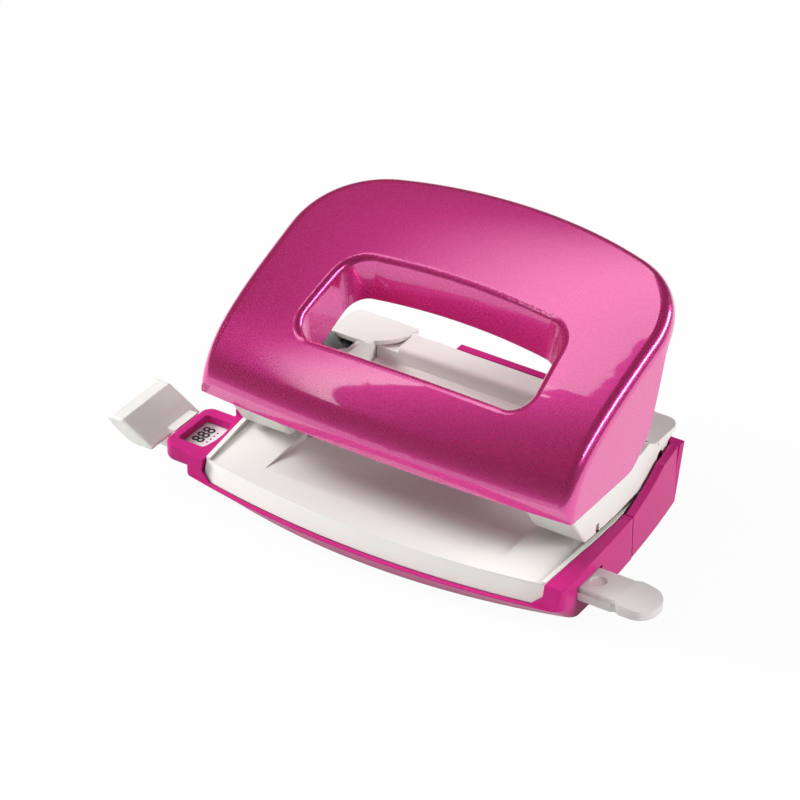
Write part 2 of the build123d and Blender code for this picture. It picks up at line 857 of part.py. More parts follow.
# Rear bridge between the shoulders, with its sloping ledge down to the paper stop
bridge_bottom = deck_top
bridge_wing_top = roof_under - slip
with BuildPart() as rear_bridge:
    with BuildSketch(Plane.YZ):
        with BuildLine():
            Polyline(
                (toe_y, bridge_bottom),
                (toe_y, bridge_toe_z),
                (bridge_step_y, bridge_step_z),
                (bridge_step_y, shoulder_top),
                (rear_y(shoulder_top, cheek_rear), shoulder_top),
                (rear_y(bridge_bottom, cheek_rear), bridge_bottom),
                close=True,
            )
        make_face()
    extrude(amount=bridge_half_width, both=True)
    with BuildSketch(Plane.YZ):
        with BuildLine():
            Polyline(
                (toe_y, bridge_bottom),
                (toe_y, bridge_toe_z),
                (bridge_step_y, bridge_step_z),
                (bridge_step_y, bridge_wing_top),
                (rear_y(bridge_wing_top, cheek_rear), bridge_wing_top),
                (rear_y(bridge_bottom, cheek_rear), bridge_bottom),
                close=True,
            )
        make_face()
    extrude(amount=jaw_inner_x - slip, both=True)
    bottom = rear_bridge.faces().sort_by(Axis.Z)[0]
    offset(amount=-bridge_wall, openings=bottom)
    crest = rear_bridge.edges().filter_by(Axis.X).group_by(Axis.Z)[-1].sort_by(Axis.Y)[0]
    fillet(crest, bridge_wall * 0.8)
    with Locations(*[(x, y, deck_top) for x, y in bridge_screws]):
        Cylinder(
            boss_dia / 2, bridge_boss_top - deck_top, align=(Align.CENTER, Align.CENTER, Align.MIN)
        )
        Cylinder(
            screw_dia / 2 + seat_fit,
            body_screw_tip + screw_tip_gap - deck_top,
            align=(Align.CENTER, Align.CENTER, Align.MIN),
            mode=Mode.SUBTRACT,
        )
    with BuildSketch(Plane.XY.offset(deck_top - recess_depth)):
        with Locations((0, toe_y)):
            Rectangle(2 * recess_half_width - 2 * slip, bridge_wall, align=(Align.CENTER, Align.MIN))
    extrude(amount=bridge_toe_z - bridge_wall - deck_top + recess_depth)
rear_bridge.part.label = "rear_bridge"
export_step(rear_bridge.part, "parts/rear_bridge.step")

# Flanged bushes that guide the pins in the jaws
for side, sign in (("left", -1), ("right", 1)):
    with BuildPart() as bush:
        with Locations((sign * pin_x, 0, slot_top + slip)):
            Cylinder(bush_dia / 2, jaw_floor - slip, align=(Align.CENTER, Align.CENTER, Align.MIN))
        with Locations((sign * pin_x, 0, jaw_floor_z)):
            Cylinder(bush_flange_dia / 2, bush_flange, align=(Align.CENTER, Align.CENTER, Align.MIN))
            Cylinder(pin_dia / 2 + run_fit, 4 * jaw_floor, mode=Mode.SUBTRACT)
    bush.part.label = f"{side}_guide_bush"
    export_step(bush.part, f"parts/{side}_guide_bush.step")

# Pivot pins under the shoulder roofs
pivot_start_x = pivot_inner_x + seat_fit
pivot_outer_x = side_x(pivot_y, base_wall + slip) - slip
for side, sign in (("left", -1), ("right", 1)):
    with BuildPart() as pivot:
        with Locations((sign * (pivot_start_x + pivot_outer_x) / 2, pivot_y, pivot_z)):
            Cylinder(pivot_dia / 2, pivot_outer_x - pivot_start_x, rotation=(0, 90, 0))
    pivot.part.label = f"{side}_pivot_pin"
    export_step(pivot.part, f"parts/{side}_pivot_pin.step")

# Lever arms: steel brackets that join the handle to the pivots and press the pins
arm_outer_x = arm_inner_x + arm_thick
handle_inner_x = handle_half_width - handle_sheet
pin_head_top = pin_rest_z + pin_length
nose_z = pin_head_top + press_gap + nose_radius
with BuildPart() as right_arm:
    with BuildSketch(Plane.YZ.offset(arm_inner_x)):
        with BuildLine():
            Polyline(
                (nose_y + arm_head_back, nose_z + arm_head_rise),
                (nose_y - arm_head_front, nose_z + arm_head_rise),
                (nose_y - arm_head_front, nose_z - arm_head_drop),
                (nose_y + arm_throat[0], nose_z + arm_throat[1]),
                (pivot_y + arm_elbow[0], pivot_z + arm_elbow[1]),
                (pivot_y + arm_heel[0], pivot_z + arm_heel[1]),
                (pivot_y + arm_root[0], pivot_z + arm_root[1]),
                (pivot_y, pivot_z + eye_radius - slip),
                (pivot_y + arm_saddle_y, pivot_z + eye_radius),
                (pivot_y + arm_shoulder[0], pivot_z + arm_shoulder[1]),
                close=True,
            )
        make_face()
        with Locations((pivot_y, pivot_z)):
            Circle(eye_radius)
            Circle(pivot_dia / 2 + run_fit, mode=Mode.SUBTRACT)
    extrude(amount=arm_thick)
    with BuildSketch(Plane.YZ.offset(nose_inner_x)):
        with Locations((nose_y, nose_z)):
            Circle(nose_radius)
    extrude(amount=arm_outer_x - nose_inner_x)
    with BuildSketch(Plane.YZ.offset(arm_inner_x)):
        with Locations((nose_y + arm_weld_y, nose_z + arm_weld_z)):
            Rectangle(arm_weld_width, arm_weld_height)
    extrude(amount=handle_inner_x - arm_inner_x)
with BuildPart() as left_arm:
    mirror(right_arm.part, about=Plane.YZ)
right_arm.part.label = "right_lever_arm"
export_step(right_arm.part, "parts/right_lever_arm.step")
left_arm.part.label = "left_lever_arm"
export_step(left_arm.part, "parts/left_lever_arm.step")

# Punch pins with their heads, and the caps that the springs push on
head_under = pin_head_top - pin_head
for side, sign in (("left", -1), ("right", 1)):
    with BuildPart() as pin:
        with Locations((sign * pin_x, 0, pin_rest_z)):
            Cylinder(pin_dia / 2, pin_length, align=(Align.CENTER, Align.CENTER, Align.MIN))
        with Locations((sign * pin_x, 0, head_under)):
            Cylinder(pin_head_dia / 2, pin_head, align=(Align.CENTER, Align.CENTER, Align.MIN))
    pin.part.label = f"{side}_punch_pin"
    export_step(pin.part, f"parts/{side}_punch_pin.step")
    with BuildPart() as cap:
        with Locations((sign * pin_x, 0, head_under - cap_thick)):
            Cylinder(cap_dia / 2, cap_thick, align=(Align.CENTER, Align.CENTER, Align.MIN))
            Cylinder(pin_dia / 2 + seat_fit, 4 * cap_thick, mode=Mode.SUBTRACT)
    cap.part.label = f"{side}_spring_cap"
    export_step(cap.part, f"parts/{side}_spring_cap.step")

# Return springs: one unbroken wire each, wound on pairs of arcs, two for each half turn
spring_bottom = jaw_floor_z + bush_flange + seat_fit + spring_wire / 2
spring_height = head_under - cap_thick - seat_fit - spring_wire / 2 - spring_bottom
spring_radius = spring_mean_dia / 2


def coil_point(turn):
    angle = 2 * math.pi * turn
    return Vector(
        spring_radius * math.cos(angle),
        spring_radius * math.sin(angle),
        spring_height * turn / spring_turns,
    )


def coil_tangent(turn):
    angle = 2 * math.pi * turn
    rise = spring_height / spring_turns / (2 * math.pi)
    return Vector(
        -spring_radius * math.sin(angle), spring_radius * math.cos(angle), rise
    ).normalized()


def biarc_joint(start, start_dir, end, end_dir):
    span = end - start
    both = start_dir + end_dir
    a = 2 * (1 - start_dir.dot(end_dir))
    b = 2 * span.dot(both)
    reach = (-b + math.sqrt(b * b + 4 * a * span.dot(span))) / (2 * a)
    return (start + end + (start_dir - end_dir) * reach) * 0.5


def spring_at(x):
    base = Vector(x, 0, spring_bottom)
    quarter_turns = [n / 4 for n in range(4 * spring_turns + 1)]
    with BuildPart() as spring:
        with BuildLine() as path:
            for first, last in zip(quarter_turns[:-1], quarter_turns[1:]):
                start, end = base + coil_point(first), base + coil_point(last)
                joint = biarc_joint(start, coil_tangent(first), end, coil_tangent(last))
                lead = TangentArc(start, joint, tangent=coil_tangent(first))
                TangentArc(joint, end, tangent=lead % 1)
        with BuildSketch(Plane(origin=path.line @ 0, z_dir=path.line % 0)):
            Circle(spring_wire / 2)
        sweep()
    return spring


for side, sign in (("left", -1), ("right", 1)):
    spring = spring_at(sign * pin_x)
    spring.part.label = f"{side}_return_spring"
    export_step(spring.part, f"parts/{side}_return_spring.step")
spring_gap = (coil_point(1) - coil_point(0)).length - spring_wire
print("least gap between spring turns", round(spring_gap, 2))

# Handle: pressed shell with a rounded crown, a finger opening and its drawn collar
crown_points = [
    (handle_crease_y, handle_crease_z),
    *crown_middle,
    (handle_rear_y, crown_rear_z),
]
crown_end_y = handle_rear_y + crown_overrun
block_bottom = handle_bottom - block_below
bow_centre_y = handle_crease_y + handle_bow_radius
bow_angle = math.degrees(
    math.asin((handle_half_width + bow_overrun) / (handle_bow_radius - crown_end_y + handle_crease_y))
)
crown_curve = Spline(*crown_points)


def inward(direction, length):
    return Vector(direction.Y, -direction.X, 0).normalized() * length


def crown_inset(inset):
    points = [Vector(y, z) for y, z in crown_points]
    lip_dir = Vector(-handle_lip_back, handle_crease_z - handle_bottom).normalized()
    shifted = []
    for point in points:
        normal = inward(crown_curve % crown_curve.param_at_point(point), 1)
        shifted.append(point + normal * inset)
    lip_normal = inward(lip_dir, 1)
    first = inward(crown_curve % 0, 1)
    shifted[0] = points[0] + (lip_normal + first) * (inset / (1 + lip_normal.dot(first)))
    return [(point.X - bow_centre_y, point.Y) for point in shifted]


def handle_block(inset):
    turn = math.radians(bow_angle)
    section = Plane(
        origin=(0, bow_centre_y, 0),
        x_dir=(math.sin(turn), math.cos(turn), 0),
        z_dir=(math.cos(turn), -math.sin(turn), 0),
    )
    half = handle_half_width - inset
    rear = handle_rear_y - inset
    rear_radius = handle_rear_radius - inset
    rear_corner = rear - rear_radius + math.sqrt(rear_radius**2 - half**2)
    lip_foot = handle_crease_y + handle_lip_back + inset - bow_centre_y
    with BuildPart() as block:
        with BuildSketch(section):
            with BuildLine():
                crown = Spline(*crown_inset(inset))
                end = crown @ 1
                Polyline(
                    end,
                    (crown_end_y - bow_centre_y, end.Y + crown_end_rise),
                    (crown_end_y - bow_centre_y, block_bottom),
                    (lip_foot, block_bottom),
                    (lip_foot, handle_bottom),
                    crown @ 0,
                )
            make_face()
        revolve(axis=Axis((0, bow_centre_y, 0), (0, 0, 1)), revolution_arc=2 * bow_angle)
        with BuildSketch() as plan:
            with BuildLine():
                ThreePointArc((-half, rear_corner), (0, rear), (half, rear_corner))
                Polyline(
                    (half, rear_corner), (half, -2 * half), (-half, -2 * half), (-half, rear_corner)
                )
            make_face()
            fillet(plan.vertices().sort_by(Axis.Y)[2:], handle_corner_radius - inset)
        extrude(amount=through, mode=Mode.INTERSECT)
        crown_face = block.faces().sort_by(Axis.Z)[-1]
        rim = crown_face.edges().sort_by(Axis.Y)[1:]
        fillet(rim, handle_edge_radius - inset)
    return block.part


outer_block = handle_block(0)
inner_block = handle_block(handle_sheet)


def opening_outline(grow):
    front, rear = opening_front_y - grow, opening_rear_y + grow
    front_half, rear_half = opening_front_half + grow, opening_rear_half + grow
    with BuildSketch() as outline:
        with BuildLine():
            ThreePointArc(
                (-rear_half, rear - opening_rear_bow), (0, rear), (rear_half, rear - opening_rear_bow)
            )
            Polyline(
                (rear_half, rear - opening_rear_bow),
                (front_half, front),
                (-front_half, front),
                (-rear_half, rear - opening_rear_bow),
            )
        make_face()
        corners = outline.vertices().sort_by(Axis.Y)
        fillet(corners[:2], opening_front_radius + grow)
        corners = outline.vertices().group_by(Axis.Y)[-1]
        fillet(corners, opening_rear_radius + grow)
    return outline.sketch


opening_inset = (opening_mid_z - handle_bottom) * math.tan(math.radians(collar_taper))
opening = opening_outline(-opening_inset)
collar_outer = opening_outline(handle_sheet - opening_inset)
collar_slope = (collar_rear_z - collar_front_z) / (opening_rear_y - opening_front_y)
collar_edge = [
    (y, collar_front_z + collar_slope * (y - opening_front_y))
    for y in (2 * opening_front_y, 2 * opening_rear_y)
]
panel_end_z = panel_top[1] + panel_run[1]
with BuildPart() as handle_collar:
    with BuildSketch(Plane.XY.offset(handle_bottom)):
        add(collar_outer)
    extrude(amount=crown_rear_z, taper=-collar_taper)
    add(outer_block.moved(Location((0, 0, -handle_sheet / 2))), mode=Mode.INTERSECT)
    with BuildSketch(Plane.YZ):
        with BuildLine():
            Polyline(
                *collar_edge,
                (2 * opening_rear_y, block_bottom),
                (2 * opening_front_y, block_bottom),
                close=True,
            )
        make_face()
    extrude(amount=handle_half_width, both=True, mode=Mode.SUBTRACT)
with BuildPart() as handle_shell:
    add(outer_block)
    add(inner_block, mode=Mode.SUBTRACT)
    with BuildSketch(Plane.YZ) as below:
        with BuildLine():
            Polyline(
                (2 * handle_crease_y, block_bottom - 1),
                (2 * handle_crease_y, handle_bottom),
                (panel_foot_y, handle_bottom),
                panel_heel,
                panel_top,
                (panel_top[0] + panel_run[0], panel_end_z),
                (2 * handle_rear_y, panel_end_z),
                (2 * handle_rear_y, block_bottom - 1),
                close=True,
            )
        make_face()
        rounded = [v for v in below.vertices() if abs(v.X) < handle_rear_y and v.Y > handle_bottom - 1]
        fillet(rounded, handle_panel_radius)
    extrude(amount=2 * handle_half_width, both=True, mode=Mode.SUBTRACT)
    add(handle_collar.part)
    with BuildSketch(Plane.XY.offset(handle_bottom)):
        add(opening)
    extrude(amount=crown_rear_z, taper=-collar_taper, mode=Mode.SUBTRACT)
    crown_face = handle_shell.faces().filter_by(GeomType.REVOLUTION).sort_by(Axis.Z)[-1]
    rim_edges = crown_face.edges().filter_by(
        lambda edge: abs(edge.center().X) < opening_front_half + handle_sheet
        and opening_front_y - 1 < edge.center().Y < opening_rear_y + 1
    )
    fillet(rim_edges, opening_rim_radius)
handle_shell.part.label = "handle_shell"
export_step(handle_shell.part, "parts/handle_shell.step")

# Guide ruler with the paper stop, one white moulding
label_start_x = window_outer_x + label_inset
label_end_x = label_start_x + label_length
label_width = ruler_width - 2 * label_inset
with BuildPart() as stop_flag:
    with BuildSketch(Plane.XZ.offset(-stop_rear_y)):
        with BuildLine():
            inner = Polyline(
                (stop_toe_x, stop_foot_z),
                (stop_toe_x, ruler_top + block_height),
                (stop_root_x - stop_lean, stop_top),
                (stop_root_x - stop_lean - stop_thick, stop_top),
            )
            ThreePointArc(inner @ 1, stop_under, (stop_root_x - block_height, stop_foot_z))
            Line((stop_root_x - block_height, stop_foot_z), inner @ 0)
        make_face()
    extrude(amount=stop_rear_y - stop_front_y)
    stop_ends = stop_flag.faces().filter_by(Axis.Y).edges()
    stop_tip = stop_flag.edges().filter_by(Axis.Y).group_by(Axis.Z)[-1]
    stop_sides = stop_ends.filter_by(GeomType.LINE)
    softened = [edge for edge in stop_sides if edge.center().Z > ruler_top + block_height]
    fillet(softened + list(stop_tip), stop_edge_radius)
with BuildPart() as guide_ruler:
    with BuildSketch(Plane.XY.offset(ruler_bottom)) as ruler_plan:
        with BuildLine():
            Polyline(
                (stop_root_x - block_height, ruler_front_y),
                (ruler_tip_x, ruler_front_y),
                (ruler_tip_x, ruler_rear_y),
                (stop_root_x - block_height, ruler_rear_y),
                close=True,
            )
        make_face()
        fillet(ruler_plan.vertices().group_by(Axis.X)[-1], ruler_tip_radius)
    extrude(amount=ruler_thick)
    with BuildSketch(Plane.XZ):
        with BuildLine():
            Polyline(
                (ruler_slope_x, ruler_top),
                (ruler_tip_x + 1, ruler_top - ruler_tip_drop),
                (ruler_tip_x + 1, ruler_top + 1),
                (ruler_slope_x, ruler_top + 1),
                close=True,
            )
        make_face()
    extrude(amount=2 * base_half_width, both=True, mode=Mode.SUBTRACT)
    with BuildSketch(Plane.XY.offset(ruler_top - ruler_rail_depth)):
        for y, side in ((ruler_front_y, Align.MIN), (ruler_rear_y, Align.MAX)):
            with Locations((ruler_slope_x, y)):
                Rectangle(ruler_slope_x - label_end_x - slip, ruler_rail_width, align=(Align.MAX, side))
    extrude(amount=ruler_rail_depth, mode=Mode.SUBTRACT)
    add(stop_flag.part)
    with BuildSketch(Plane.XY.offset(ruler_bottom)):
        with Locations((stop_root_x - block_height, ruler_mid_y)):
            Rectangle(
                window_outer_x - slip - stop_root_x + block_height,
                ruler_width - 2 * block_inset,
                align=(Align.MIN, Align.CENTER),
            )
    extrude(amount=ruler_thick + block_rise)
    with BuildSketch(Plane.XY.offset(ruler_bottom)):
        for step in guide_steps:
            notch_out = detent_notch_radius - detent_notch_depth
            with Locations(
                (detent_x + step, ruler_rear_y + notch_out), (detent_x + step, ruler_front_y - notch_out)
            ):
                Circle(detent_notch_radius)
    extrude(amount=ruler_thick, mode=Mode.SUBTRACT)
    with Locations((dimple_x, ruler_mid_y, ruler_top)):
        Cylinder(dimple_radius, 2 * dimple_depth, mode=Mode.SUBTRACT)
    with Locations((label_start_x - seat_fit, ruler_mid_y, ruler_top)):
        Box(
            label_length + 2 * seat_fit,
            label_width + 2 * seat_fit,
            label_thick,
            align=(Align.MIN, Align.CENTER, Align.MAX),
            mode=Mode.SUBTRACT,
        )
guide_ruler.part.label = "guide_ruler"
export_step(guide_ruler.part, "parts/guide_ruler.step")

# Format label on the ruler, read through the window
with BuildPart() as format_label:
    with BuildSketch(Plane.XY.offset(ruler_top - label_thick)):
        with Locations((label_start_x, ruler_mid_y)):
            Rectangle(label_length, label_width, align=(Align.MIN, Align.CENTER))
    extrude(amount=label_thick)
format_label.part.label = "format_label"
export_step(format_label.part, "parts/format_label.step")

# Detent spring: a bowed steel strip that bears on the ruler's rear edge
with BuildPart() as detent_spring:
    with BuildSketch(Plane.XY.offset(ruler_bottom + slip)):
        with BuildLine():
            outer = ThreePointArc(
                (detent_x - detent_half, detent_ends_y),
                (detent_x, ruler_rear_y + slip),
                (detent_x + detent_half, detent_ends_y),
            )
            inner = ThreePointArc(
                (detent_x - detent_half, detent_ends_y + detent_thick),
                (detent_x, ruler_rear_y + slip + detent_thick),
                (detent_x + detent_half, detent_ends_y + detent_thick),
            )
            Line(outer @ 0, inner @ 0)
            Line(outer @ 1, inner @ 1)
        make_face()
    extrude(amount=ruler_thick - 2 * slip)
detent_spring.part.label = "detent_spring"
export_step(detent_spring.part, "parts/detent_spring.step")

# Screws from below, and the anti-slip pads
deck_screw_length = deck_top - screw_tip_gap - screw_head - slip
with BuildPart() as deck_screws:
    for x, y in front_screws + [spine_screw]:
        add(screw(x, y, screw_head + slip, deck_screw_length))
deck_screws.part.label = "deck_screws"
export_step(deck_screws.part, "parts/deck_screws.step")
with BuildPart() as body_screws:
    for x, y in body_screw_places:
        add(screw(x, y, deck_under, body_screw_tip - deck_under))
body_screws.part.label = "body_screws"
export_step(body_screws.part, "parts/body_screws.step")
with BuildPart() as anti_slip_pads:
    with Locations(*[(x, y, 0) for x, y in pad_places]):
        Cylinder(pad_dia / 2, pad_thick - seat_fit, align=(Align.CENTER, Align.CENTER, Align.MIN))
anti_slip_pads.part.label = "anti_slip_pads"
export_step(anti_slip_pads.part, "parts/anti_slip_pads.step")
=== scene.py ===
import json
import math
import bpy
from mathutils import Matrix, Vector


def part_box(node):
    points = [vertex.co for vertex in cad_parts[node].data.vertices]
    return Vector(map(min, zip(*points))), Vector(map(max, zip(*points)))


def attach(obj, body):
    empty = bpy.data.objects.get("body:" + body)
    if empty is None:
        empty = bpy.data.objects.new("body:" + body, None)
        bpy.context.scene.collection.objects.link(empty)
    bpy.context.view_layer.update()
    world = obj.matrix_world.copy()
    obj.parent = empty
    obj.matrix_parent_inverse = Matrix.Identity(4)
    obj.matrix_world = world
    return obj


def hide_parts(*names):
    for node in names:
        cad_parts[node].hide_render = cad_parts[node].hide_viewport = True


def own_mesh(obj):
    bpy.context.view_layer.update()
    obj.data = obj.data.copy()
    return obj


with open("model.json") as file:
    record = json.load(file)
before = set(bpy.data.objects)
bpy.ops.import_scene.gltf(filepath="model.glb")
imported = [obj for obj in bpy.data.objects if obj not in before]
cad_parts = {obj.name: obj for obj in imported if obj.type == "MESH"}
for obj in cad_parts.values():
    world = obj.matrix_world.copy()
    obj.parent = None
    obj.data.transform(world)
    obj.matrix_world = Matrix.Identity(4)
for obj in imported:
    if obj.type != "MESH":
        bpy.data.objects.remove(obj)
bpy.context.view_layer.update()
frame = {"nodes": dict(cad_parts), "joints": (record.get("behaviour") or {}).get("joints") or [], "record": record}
nodes = frame["nodes"]
mm = 0.001
print("frame loaded:", len(nodes), "nodes")


# finishes
class Wire:
    # an output socket; an expression on it adds Math nodes
    def __init__(self, finish, socket):
        self.finish = finish
        self.socket = socket

    def sum(self, operation, first, second):
        return self.finish.node("ShaderNodeMath", {"operation": operation}, {0: first, 1: second})

    def __add__(self, other):
        return self.sum("ADD", self, other)

    def __mul__(self, other):
        return self.sum("MULTIPLY", self, other)

    __radd__ = __add__
    __rmul__ = __mul__


class Finish:
    # the nodes of a new material, or of a lamp or the world
    bevelSamples = 6

    def __init__(self, name=None, tree=None):
        self.material = None
        if tree is None:
            self.material = bpy.data.materials.new(name)
            self.material.use_nodes = True
            tree = self.material.node_tree
        self.tree = tree
        self.tree.nodes.clear()

    def node(self, kind, settings=None, sockets=None, output=0):
        made = self.tree.nodes.new(kind)
        for key, value in (settings or {}).items():
            setattr(made, key, value)
        for key, value in (sockets or {}).items():
            if isinstance(value, Wire):
                self.tree.links.new(value.socket, made.inputs[key])
            else:
                made.inputs[key].default_value = value
        return Wire(self, made.outputs[output]) if len(made.outputs) else None

    def place(self):
        return self.node("ShaderNodeTexCoord", output="Object")

    def noise(self, scale, detail=2.0, stretch=(1, 1, 1)):
        where = self.node("ShaderNodeMapping", {}, {"Vector": self.place(), "Scale": stretch})
        return self.node(
            "ShaderNodeTexNoise", {}, {"Vector": where, "Scale": scale, "Detail": detail}
        )

    def blend(self, share, first, second):
        return self.node(
            "ShaderNodeMix", {"data_type": "RGBA"},
            {0: share, 6: (*first, 1), 7: (*second, 1)}, output=2,  # the mix's colour sockets
        )

    def bump(self, height, strength, distance, edge=0.0):
        sockets = {"Height": height, "Strength": strength, "Distance": distance}
        if edge:
            sockets["Normal"] = self.node(
                "ShaderNodeBevel", {"samples": self.bevelSamples}, {"Radius": edge}
            )
        return self.node("ShaderNodeBump", {}, sockets)

    def surface(self, sockets):
        shader = self.node("ShaderNodeBsdfPrincipled", {}, sockets)
        self.node("ShaderNodeOutputMaterial", {}, {"Surface": shader})
        return self.material


# base and tray
mouldedPink = {
    "colour": (0.535, 0.019, 0.198), "deep": (0.488, 0.015, 0.174), "cloudScale": 45,
    "rough": 0.32, "roughSpread": 0.10, "specular": 0.14,
    "grainScale": 5200, "grainDetail": 3.0, "grainBump": 0.18, "grainDepth": 0.05 * mm,
    "edge": 0.35 * mm,
}


def makeMouldedPink():
    look = mouldedPink
    f = Finish("moulded_pink")
    cloud = f.noise(look["cloudScale"])
    grain = f.noise(look["grainScale"], look["grainDetail"])
    return f.surface({
        "Base Color": f.blend(cloud, look["deep"], look["colour"]),
        "Roughness": look["rough"] + look["roughSpread"] * grain,
        "Normal": f.bump(grain, look["grainBump"], look["grainDepth"], look["edge"]),
        "Specular IOR Level": look["specular"],
    })


# handle: metal flakes in pink paint, under a clear coat
flakePaint = {
    "deep": (0.670, 0.021, 0.160), "colour": (0.710, 0.024, 0.175), "paintRough": 0.42,
    "metal": (0.770, 0.070, 0.400), "flake": (0.815, 0.082, 0.432), "metalRough": 0.25,
    "flakeScale": 7000, "flakeShare": 0.72, "roughSpread": 0.03, "specular": 0.2,
    "peelScale": 420, "peelBump": 0.006, "peelDepth": 0.05 * mm, "flakeLift": 0.05,
    "clear": {"Coat Weight": 1.0, "Coat Roughness": 0.03, "Coat IOR": 1.75},
}


def makeFlakePaint():
    look = flakePaint
    f = Finish("flake_paint")
    flakes = f.node(
        "ShaderNodeTexVoronoi", {}, {"Vector": f.place(), "Scale": look["flakeScale"]},
        output="Color",
    )
    spark = f.node("ShaderNodeSeparateColor", {}, {"Color": flakes})
    peel = f.noise(look["peelScale"])
    lying = f.bump(peel + look["flakeLift"] * spark, look["peelBump"], look["peelDepth"])
    base = f.node("ShaderNodeBsdfPrincipled", {}, {
        "Base Color": f.blend(spark, look["deep"], look["colour"]),
        "Roughness": look["paintRough"] + look["roughSpread"] * spark,
        "Specular IOR Level": look["specular"],
        "Normal": lying,
        **look["clear"],
    })
    metal = f.node("ShaderNodeBsdfPrincipled", {}, {
        "Base Color": f.blend(spark, look["metal"], look["flake"]),
        "Metallic": 1.0,
        "Roughness": look["metalRough"] + look["roughSpread"] * spark,
        "Normal": lying,
        **look["clear"],
    })
    paint = f.node("ShaderNodeMixShader", {}, {0: look["flakeShare"], 1: base, 2: metal})
    f.node("ShaderNodeOutputMaterial", {}, {"Surface": paint})
    return f.material


# deck, cheeks and bridge
warmWhite = {
    "colour": (0.792, 0.794, 0.752), "deep": (0.738, 0.737, 0.697), "cloudScale": 38,
    "rough": 0.38, "roughSpread": 0.12, "ior": 1.46,
    "grainScale": 4300, "grainDetail": 3.0, "grainBump": 0.16, "grainDepth": 0.05 * mm,
    "edge": 0.15 * mm,
}


def makeWarmWhite():
    look = warmWhite
    f = Finish("warm_white")
    cloud = f.noise(look["cloudScale"])
    grain = f.noise(look["grainScale"], look["grainDetail"])
    return f.surface({
        "Base Color": f.blend(cloud, look["deep"], look["colour"]),
        "Roughness": look["rough"] + look["roughSpread"] * grain,
        "Normal": f.bump(grain, look["grainBump"], look["grainDepth"], look["edge"]),
        "IOR": look["ior"],
    })


# paper guide: white at the stop; painted shade greys it towards its far end, standing in for the body's shadow
# there
guideWhite = {
    "colour": (0.800, 0.790, 0.750), "shadedFar": (0.660, 0.640, 0.632),
    "shadeFromX": -40 * mm, "shadeFullX": 52 * mm, "mottle": 0.12,
    "rough": 0.44, "roughSpread": 0.12, "ior": 1.46,
    "grainScale": 2600, "grainDetail": 4.0, "grainBump": 0.35, "grainDepth": 0.06 * mm,
    "edge": 0.4 * mm,
}


def makeGuideWhite():
    look = guideWhite
    f = Finish("guide_white")
    along = f.node("ShaderNodeSeparateXYZ", {}, {"Vector": f.place()}, output="X")
    # share of painted shade along X: none at the stop, full at the far end, mottled by the grain
    share = f.node(
        "ShaderNodeMapRange", {},
        {"Value": along, "From Min": look["shadeFromX"], "From Max": look["shadeFullX"]},
    )
    grain = f.noise(look["grainScale"], look["grainDetail"])
    return f.surface({
        "Base Color": f.blend(share + look["mottle"] * grain, look["colour"], look["shadedFar"]),
        "Roughness": look["rough"] + look["roughSpread"] * grain,
        "Normal": f.bump(grain, look["grainBump"], look["grainDepth"], look["edge"]),
        "IOR": look["ior"],
    })


# arms, pins, dies, screws and springs
metals = {
    "zinc_steel": {
        "colour": (0.520, 0.535, 0.550), "deep": (0.360, 0.370, 0.385),
        "rough": 0.36, "grain": 900,
    },
    "bright_steel": {
        "colour": (0.690, 0.690, 0.680), "deep": (0.560, 0.560, 0.555),
        "rough": 0.18, "grain": 2200,
    },
    "spring_steel": {
        "colour": (0.470, 0.460, 0.445), "deep": (0.300, 0.290, 0.280),
        "rough": 0.30, "grain": 2600,
    },
}
metalWear = {
    "stainScale": 110, "detail": 3.0, "stretch": (1, 1, 0.12),
    "roughSpread": 0.14, "bump": 0.12, "depth": 0.05 * mm,
}


def makeMetal(name):
    look = {**metals[name], **metalWear}
    f = Finish(name)
    stain = f.noise(look["stainScale"], look["detail"])
    scratch = f.noise(look["grain"], look["detail"], look["stretch"])
    return f.surface({
        "Base Color": f.blend(stain, look["deep"], look["colour"]),
        "Metallic": 1.0,
        "Roughness": look["rough"] + look["roughSpread"] * scratch,
        "Normal": f.bump(scratch, look["bump"], look["depth"]),
    })


# bushes, spring caps, pads, label and its print
dulls = {
    "bush_plastic": {
        "colour": (0.060, 0.060, 0.063), "deep": (0.035, 0.035, 0.037),
        "rough": 0.42, "grain": 3000,
    },
    "pad_rubber": {
        "colour": (0.042, 0.041, 0.040), "deep": (0.022, 0.021, 0.021),
        "rough": 0.72, "grain": 1500,
    },
    "label_card": {
        "colour": (0.810, 0.775, 0.790), "deep": (0.740, 0.700, 0.718),
        "rough": 0.55, "grain": 2400,
    },
    "print_ink": {
        "colour": (0.014, 0.013, 0.014), "deep": (0.028, 0.026, 0.027),
        "rough": 0.46, "grain": 3200,
    },
}
dullGrain = {"detail": 3.0, "roughSpread": 0.12, "bump": 0.2, "depth": 0.04 * mm}


def makeDull(name):
    look = {**dulls[name], **dullGrain}
    f = Finish(name)
    speck = f.noise(look["grain"], look["detail"])
    return f.surface({
        "Base Color": f.blend(speck, look["deep"], look["colour"]),
        "Roughness": look["rough"] + look["roughSpread"] * speck,
        "Normal": f.bump(speck, look["bump"], look["depth"]),
    })


finishes = {
    "pink_plastic": makeMouldedPink(),
    "handle_paint": makeFlakePaint(),
    "white_plastic": makeWarmWhite(),
}
for metalName in metals:
    finishes[metalName] = makeMetal(metalName)
for dullName in dulls:
    finishes[dullName] = makeDull(dullName)

for part in frame["record"]["subparts"]:
    mesh = nodes[part["node"]].data
    mesh.materials.clear()
    mesh.materials.append(finishes[part["material_slot"]])
nodes["guide_ruler"].data.materials[0] = makeGuideWhite()
print("finishes set:", len(finishes) + 1)


# hand tools
weldGap = 0.01 * mm


def startFresh():
    if bpy.context.object and bpy.context.object.mode != "OBJECT":
        bpy.ops.object.mode_set(mode="OBJECT")
    bpy.ops.object.select_all(action="DESELECT")


def pick(piece):
    startFresh()
    piece.select_set(True)
    bpy.context.view_layer.objects.active = piece


def setPlace(piece):
    pick(piece)
    bpy.ops.object.transform_apply(location=True, rotation=True, scale=True)


